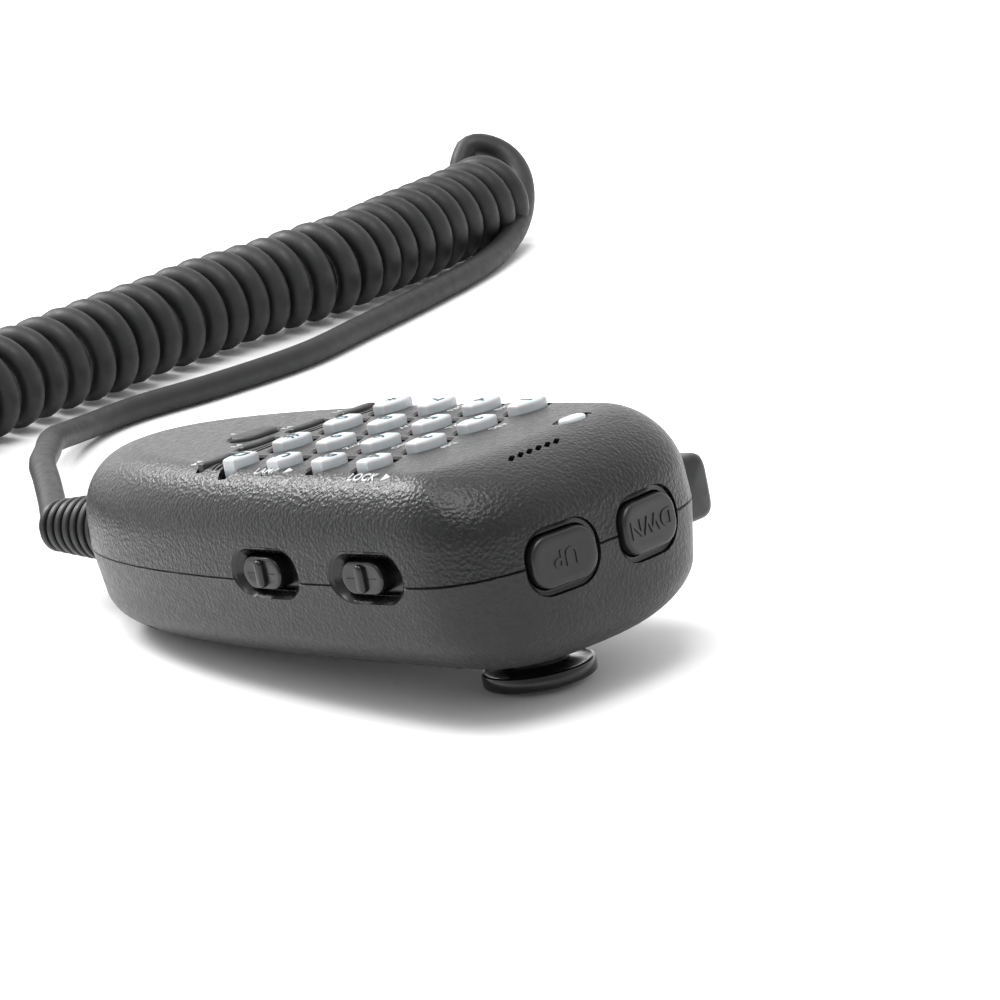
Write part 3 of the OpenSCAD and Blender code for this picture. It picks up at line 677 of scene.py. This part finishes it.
def rear_shell():
    """Rear half of the case: hollow with columns, screw bores and openings."""
    shell = put("rear_case", *half_case(1, HEIGHT[1], 0, SHOULDER_IN[1], lip=0.3), REAR)
    hollow = put("hollow", *moved(half_case(1, HEIGHT[1] - FACE_T, WALL, INNER_IN[1], 120,
                                            10), (0, 0, 0.01)), RIM)
    columns = [cylinder(x, y, -20, -0.4, 3.4) for x, y, _ in SCREWS]
    columns.append(cylinder(0, HANGER_Y, -20, -7.9, 4))
    columns.append(cylinder(*PTT_PIVOT, -8.9, -5.9, 2.2))
    boolean(hollow, [put("columns", *join_parts(columns), RIM)], "column")
    bores = [cylinder(x, y, -20, 1, 1.35) for x, y, _ in SCREWS]
    counter = [cylinder(x, y, -20, z, 2.5) for x, y, z in SCREWS]
    wide, deep = openings()
    cut_wide = put("wide", *join_parts(wide + counter), RIM)
    cut_deep = put("deep", *join_parts(deep + bores), RIM)
    boolean(shell, [hollow, cut_wide, cut_deep], "cut")
    finish_piece(shell, "case", ["rear_shell"], 30)


# ---------- keys and buttons ----------

def add_keys():
    """Pale number and letter keys with their marks, and the dark program keys."""
    for text, (col, row) in DIGITS.items():
        node = NODE_OF.get(text, "key_" + text.lower())
        at = key_centre(col, row)
        levels = soft_top(KEY_FOOT, KEY_TOP - 0.12, 0.45) + [(0.8, KEY_TOP - 0.04),
                                                             (1.2, KEY_TOP)]
        cap = prism(lambda i: eye_outline(*KEY_CAP[col == LETTERS], i), levels)
        flange = prism(lambda i: round_outline(6.8 - 2 * i, 7.8 - 2 * i, 0.6),
                       [(0, 12), (0, 12.85), (0.15, 13)])
        put("cap_" + node[4:], *join_parts([moved(cap, at), moved(flange, at)]), KEY, node,
            "key_silicone", [node], 40)
        size = 3.3 if text not in "*#" else 3.8
        mark = lettering(text, size, (KEY_TOP - 0.1, KEY_TOP + 0.035))
        put("mark_" + node[4:], *moved(mark, at), INK, node, "key_silicone")
    for node, (x, y) in PROGRAMS.items():
        levels = soft_top(KEY_FOOT, FACE_Z + 0.42, 0.4) + [(0.6, FACE_Z + 0.48),
                                                           (0.8, FACE_Z + 0.5)]
        cap = prism(lambda i: eye_outline(*PROGRAM_CAP, i), levels)
        flange = prism(lambda i: round_outline(6.6, 4.2, 0.6), [(0, 12), (0, 13)])
        put("cap_" + node[4:], *join_parts([moved(cap, (x, y, 0)),
                                            moved(flange, (x, y, 0))]),
            PROGRAM, node, "program_key_rubber", [node], 40)
    w, h = OVAL_CAP
    cap = prism(lambda i: round_outline(w - 2 * i, h - 2 * i, h / 2 - i),
                soft_top(KEY_FOOT, FACE_Z + 0.5, 0.5) + [(1.1, FACE_Z + 0.56),
                                                         (2.0, FACE_Z + 0.6)])
    flange = prism(lambda i: round_outline(8, 7.4, 0.6), [(0, 12), (0, 13)])
    put("cap_oval", *moved(join_parts([cap, flange]), (0, OVAL_Y, 0)), PROGRAM, "key_oval",
        "program_key_rubber", ["key_oval"], 40)


def add_end_buttons():
    """The two buttons of the top end, with raised words."""
    for side, node, word in ((1, "button_up", "UP"), (-1, "button_down", "DWN")):
        at, spin = (side * END_X, END_Y, 0), end_spin(side)
        face = prism(lambda i: round_outline(11.9 - 2 * i, 7.8 - 2 * i, 3.2 - i * 0.8),
                     soft_top(-4.6, 0.3, 0.6) + [(1.4, 0.28), (2.4, 0.26)])
        flange = prism(lambda i: round_outline(14, 10, 3), [(0, -4.8), (0, -3.6)])
        stem = moved(revolve([(1.5, -6.4), (1.5, -4.4)], 32))
        word_part = lettering(word, 3.7, (0.1, 0.42), 1.05)
        parts = join_parts([face, flange, stem])
        put("cap_" + node[7:], *moved(parts, at, spin), SATIN, node, "button_plastic",
            [node], 40)
        put("word_" + node[7:], *moved(word_part, at, spin), SATIN, node, "button_plastic")


def add_slides():
    """The two slide knobs, each with a ridge for the thumb."""
    for node, (at, yaw) in SLIDES.items():
        spin = slide_spin(yaw)
        knob = prism(lambda i: round_outline(9 - 2 * i, 5 - 2 * i, 2.5 - i * 0.9),
                     soft_top(-3.8, -0.65, 0.45) + [(1.2, -0.72)])
        ridge = prism(lambda i: round_outline(1.7 - 2 * i, 4.3 - 2 * i, 0.8 - i * 0.9),
                      soft_top(-1.6, 0.1, 0.55))
        flange = prism(lambda i: round_outline(12, 7, 0.5), [(0, -4), (0, -3.2)])
        parts = moved(join_parts([knob, ridge, flange]), (SLIDE_START, 0, 0))
        put(node[:4] + "_knob", *moved(parts, at, spin), GLOSS, node, "slider_plastic",
            [node], 40)


def add_lever():
    """Lever: rounded bar whose outer edge is x = -(root + bow sin(100 u))."""
    u = np.r_[0, 0.006, 0.018, np.linspace(0.035, 0.965, 34), 0.982, 0.994, 1]
    draw = np.r_[1.1, 0.5, 0.14, np.zeros(34), 0.14, 0.5, 1.1]
    outer = -(PTT_ROOT + PTT_BOW * np.sin(np.radians(100 * u)))
    a = np.linspace(0, 2 * np.pi, 48, endpoint=False)
    c, s = np.cos(a), np.sin(a)
    corner = 0.42
    cx, sx = np.sign(c) * np.abs(c) ** corner, np.sign(s) * np.abs(s) ** corner
    half_x = ((PTT_INNER - outer) / 2 - draw)[:, None]
    mid_x = ((PTT_INNER + outer) / 2)[:, None]
    half_z = ((PTT_Z[1] - PTT_Z[0]) / 2 - draw)[:, None]
    y = PTT_Y[0] + u * (PTT_Y[1] - PTT_Y[0])
    rings = np.stack([mid_x + half_x * cx, np.repeat(y[:, None], 48, 1),
                      (PTT_Z[0] + PTT_Z[1]) / 2 + half_z * sx], 2)
    knuckle = revolve([(1.06, PTT_Z[0]), (2.2, PTT_Z[0]), (2.2, PTT_Z[1]),
                       (1.06, PTT_Z[1])], 32, False)
    parts = [rings_to_solid(rings), moved(knuckle, (*PTT_PIVOT, 0))]
    put("talk_lever", *join_parts(parts), SATIN, "ptt_lever", "button_plastic",
        ["ptt_lever"], 40)


# ---------- trim ----------

def add_print():
    """White words by the slides and keys, laid on the face and its shoulder."""
    parts = []

    def lay(part, x, y, spin):
        v, f = moved(part, (x, y, 0), turn("Z", spin))
        v = v.copy()
        v[:, 2] += face_height(v[:, 0], v[:, 1])
        parts.append((v, f))

    for word, x, y, size in SIDE_WORDS:
        lay(lettering(word, size, (-0.4, 0.16), 1.1), x, y, 90)
        lay(triangle(1.6, (-0.4, 0.16)), x, y + 5.2, 90)
    for text, word in PHONE_LETTERS.items():
        x, y, _ = key_centre(*DIGITS[text])
        lay(lettering(word, 1.7, (-0.2, 0.05), 1.1), x - 0.4, y + 4.2, 0)
    for k, (x, y) in enumerate(PROGRAMS.values()):
        lay(lettering("P" + str(k + 1), 1.8, (-0.2, 0.05)), x + 1.2, y - 3.4, 0)
    lay(lettering("F", 1.8, (-0.2, 0.05)), 0, OVAL_Y - 5.2, 0)
    put("words", *join_parts(parts), WHITE_INK, "case", "front_plastic")


def add_trim():
    """Indicator lens, hanger button and ribbed strain relief."""
    lens = prism(lambda i: round_outline(4.6 - 2 * i, 2.8 - 2 * i, 1.4 - i),
                 [(0, 12.7), (0, 15.3), (0.12, 15.5), (0.4, 15.62), (0.8, 15.68)])
    base = prism(lambda i: round_outline(5.8, 4, 2), [(0, 12), (0, 12.8)])
    put("lens", *moved(join_parts([lens, base]), (*LED, 0)), LENS, "case", "lens_plastic",
        ["led_lens"], 40)

    r, neck, drop = HANGER_D / 2, HANGER_NECK / 2, HANGER_DROP
    a = np.linspace(0, np.pi / 2, 5)
    profile = [(1.6, -0.02), (neck + 0.9, -0.02), (neck + 0.35, 0.3), (neck, 1.0),
               (neck, drop - FLANGE_T - 1.1), (neck + 0.4, drop - FLANGE_T - 0.8),
               (r - 1.5, drop - FLANGE_T - 0.3), (r - 0.5, drop - FLANGE_T - 0.55),
               (r - 0.15, drop - FLANGE_T - 0.4), (r, drop - FLANGE_T)]
    profile += [(r - 0.6 + 0.6 * math.cos(t), drop - 0.6 + 0.6 * math.sin(t)) for t in a]
    profile += [(3.4, drop), (3.2, drop - 0.2), (3.2, drop - 2.2), (1.6, drop - 2.2)]
    spin = turn("X", -math.degrees(BACK_ANGLE)) @ np.diag([1, -1, -1])
    at = (0, HANGER_Y, -HEIGHT[1] - BACK_SLOPE * HANGER_Y)
    put("hanger", *moved(revolve(profile, 96, False), at, spin), HANGER, "case",
        "hanger_plastic", ["hanger_button"], 35)

    ribs, pitch = [], (RELIEF_LEN - 1) / RELIEF_RIBS
    for i in range(RELIEF_RIBS):
        taper = (RELIEF_R[0] - RELIEF_R[1]) * i / (RELIEF_RIBS - 1)
        r, core = RELIEF_R[0] - taper, RELIEF_R[0] - 0.9 - taper
        z, w = 1 + i * pitch, pitch * 0.56
        ribs += [(core, z - 0.05), (r - 0.2, z + 0.05), (r, z + 0.25), (r, z + w - 0.2),
                 (r - 0.2, z + w), (core, z + w + 0.1)]
    profile = [(CORD_R, -6.6), (6.2, -6.6), (6.2, -5.4), (4.5, -5.4), (4.5, -1.9),
               (5.55, -1.9), (5.55, 0.4), (4.7, 0.6)] + ribs
    profile += [(3.4, RELIEF_LEN - 0.1), (2.9, RELIEF_LEN), (CORD_R, RELIEF_LEN)]
    put("relief", *moved(revolve(profile, 64, False), (0, -FOOT_LEN, 0), turn("X", 90)),
        RELIEF, "case", "relief_rubber", ["strain_relief"], 35)


# ---------- parts kept from the frame ----------

def dress(node, material):
    """Gives a piece kept from the frame its finish."""
    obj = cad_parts[node]
    obj.data.materials.clear()
    obj.data.materials.append(material)


def dress_rest():
    """Finishes of the pieces inside the case, the screws and the plug."""
    board = Paint("board_laminate", (0.02, 0.10, 0.05), 0.35)
    board.tint(board.noise(900, 4), (0.012, 0.075, 0.035), (0.03, 0.13, 0.065), 0.4, 0.6)
    board.relief(board.noise(1800, 3), 0.00003, 0.4)
    clear = Paint("plug_plastic", (0.80, 0.83, 0.84), 0.12, Transmission_Weight=0.75,
                  IOR=1.5)
    clear.rough(clear.noise(600, 3), 0.08, 0.22)
    clear.relief(clear.noise(1500, 2), 0.00002, 0.2)
    dull = (0.5, 0.65)
    rest = {
        "circuit_board": board.mat,
        "plug_body": clear.mat,
        "plug_contacts": metal("contact_gold", (0.70, 0.50, 0.18), (0.86, 0.66, 0.28),
                               (0.18, 0.3)),
        "key_domes": metal("dome_steel", (0.66, 0.66, 0.65), (0.78, 0.78, 0.77),
                           (0.15, 0.28)),
        "mic_capsule": metal("capsule_metal", (0.62, 0.63, 0.64), (0.76, 0.77, 0.78),
                             (0.25, 0.4)),
        "keypad_mat": plain_plastic("mat_rubber", (0.26, 0.28, 0.29), (0.33, 0.35, 0.36),
                                    dull),
        "mic_boot": plain_plastic("boot_rubber", (0.015, 0.015, 0.016),
                                  (0.024, 0.024, 0.025), dull),
        "inner_wires": plain_plastic("wire_insulation", (0.30, 0.035, 0.03),
                                     (0.40, 0.06, 0.05), (0.35, 0.5)),
        "cord_clamp": plain_plastic("clamp_plastic", (0.04, 0.04, 0.042),
                                    (0.06, 0.06, 0.062), dull),
    }
    led = plain_plastic("led_resin", (0.72, 0.70, 0.54), (0.84, 0.82, 0.66), (0.2, 0.35))
    switch = plain_plastic("switch_plastic", (0.10, 0.11, 0.12), (0.15, 0.16, 0.17), dull)
    ivory = plain_plastic("connector_plastic", (0.66, 0.63, 0.54), (0.78, 0.75, 0.66), dull)
    rest.update(backlight_leds=led, indicator_led=led, slide_switches=switch,
                end_switches=switch, ptt_switch=switch, board_connector=ivory,
                wire_plug=ivory)
    rest.update({n: STEEL for n in ("ptt_pin", "board_screws", "case_screws",
                                    "hanger_screw")})
    for node, material in rest.items():
        dress(node, material)


# ---------- floor and light ----------

FLOOR_HALF = 3.0
WORLD = (0.45, 1.55)                      # light from the camera's side, from the far side
WORLD_TO = (-0.65, -0.71, 0.27)
LAMPS = [("top_light", (0.2, 0.2, 1.3), 12.0, 0.8),
         ("back_light", (0.05, -0.95, 0.80), 12.0, 0.45)]


def add_stage():
    """White floor, a sky that is brighter at the far side, and two square lamps."""
    size = FLOOR_HALF
    floor = bpy.data.meshes.new("floor")
    floor.from_pydata([(-size, -size, 0), (size, -size, 0), (size, size, 0),
                       (-size, size, 0)], [], [(0, 1, 2, 3)])
    obj = bpy.data.objects.new("floor", floor)
    paper = Paint("white_paper", (0.93, 0.93, 0.93), 0.75)
    paper.tint(paper.noise(3, 2), (0.92, 0.92, 0.92), (0.94, 0.94, 0.94))
    floor.materials.append(paper.mat)
    bpy.context.scene.collection.objects.link(obj)
    world = bpy.data.worlds.new("studio")
    world.use_nodes = True
    world.node_tree.nodes["Background"].inputs["Color"].default_value = (1, 1, 1, 1)
    nodes, links = world.node_tree.nodes, world.node_tree.links
    around = nodes.new("ShaderNodeTexCoord").outputs["Generated"]
    facing = nodes.new("ShaderNodeVectorMath")
    facing.operation = "DOT_PRODUCT"
    facing.inputs[1].default_value = WORLD_TO
    level = nodes.new("ShaderNodeMapRange")
    for key, number in (("From Min", -1), ("From Max", 1), ("To Min", WORLD[0]),
                        ("To Max", WORLD[1])):
        level.inputs[key].default_value = number
    links.new(around, facing.inputs[0])
    links.new(facing.outputs["Value"], level.inputs["Value"])
    links.new(level.outputs["Result"], nodes["Background"].inputs["Strength"])
    bpy.context.scene.world = world
    for name, at, power, width in LAMPS:
        data = bpy.data.lights.new(name, "AREA")
        data.energy, data.size, data.shape = power, width, "SQUARE"
        lamp = bpy.data.objects.new(name, data)
        at = Vector(at)
        lamp.matrix_world = (Matrix.Translation(at)
                             @ (-at).to_track_quat("-Z", "Y").to_matrix().to_4x4())
        bpy.context.scene.collection.objects.link(lamp)
    bpy.context.scene.view_settings.view_transform = "Standard"


# ---------- the whole ----------

front_shell()
rear_shell()
add_keys()
add_end_buttons()
add_slides()
add_lever()
add_print()
add_trim()
dress_rest()
add_stage()
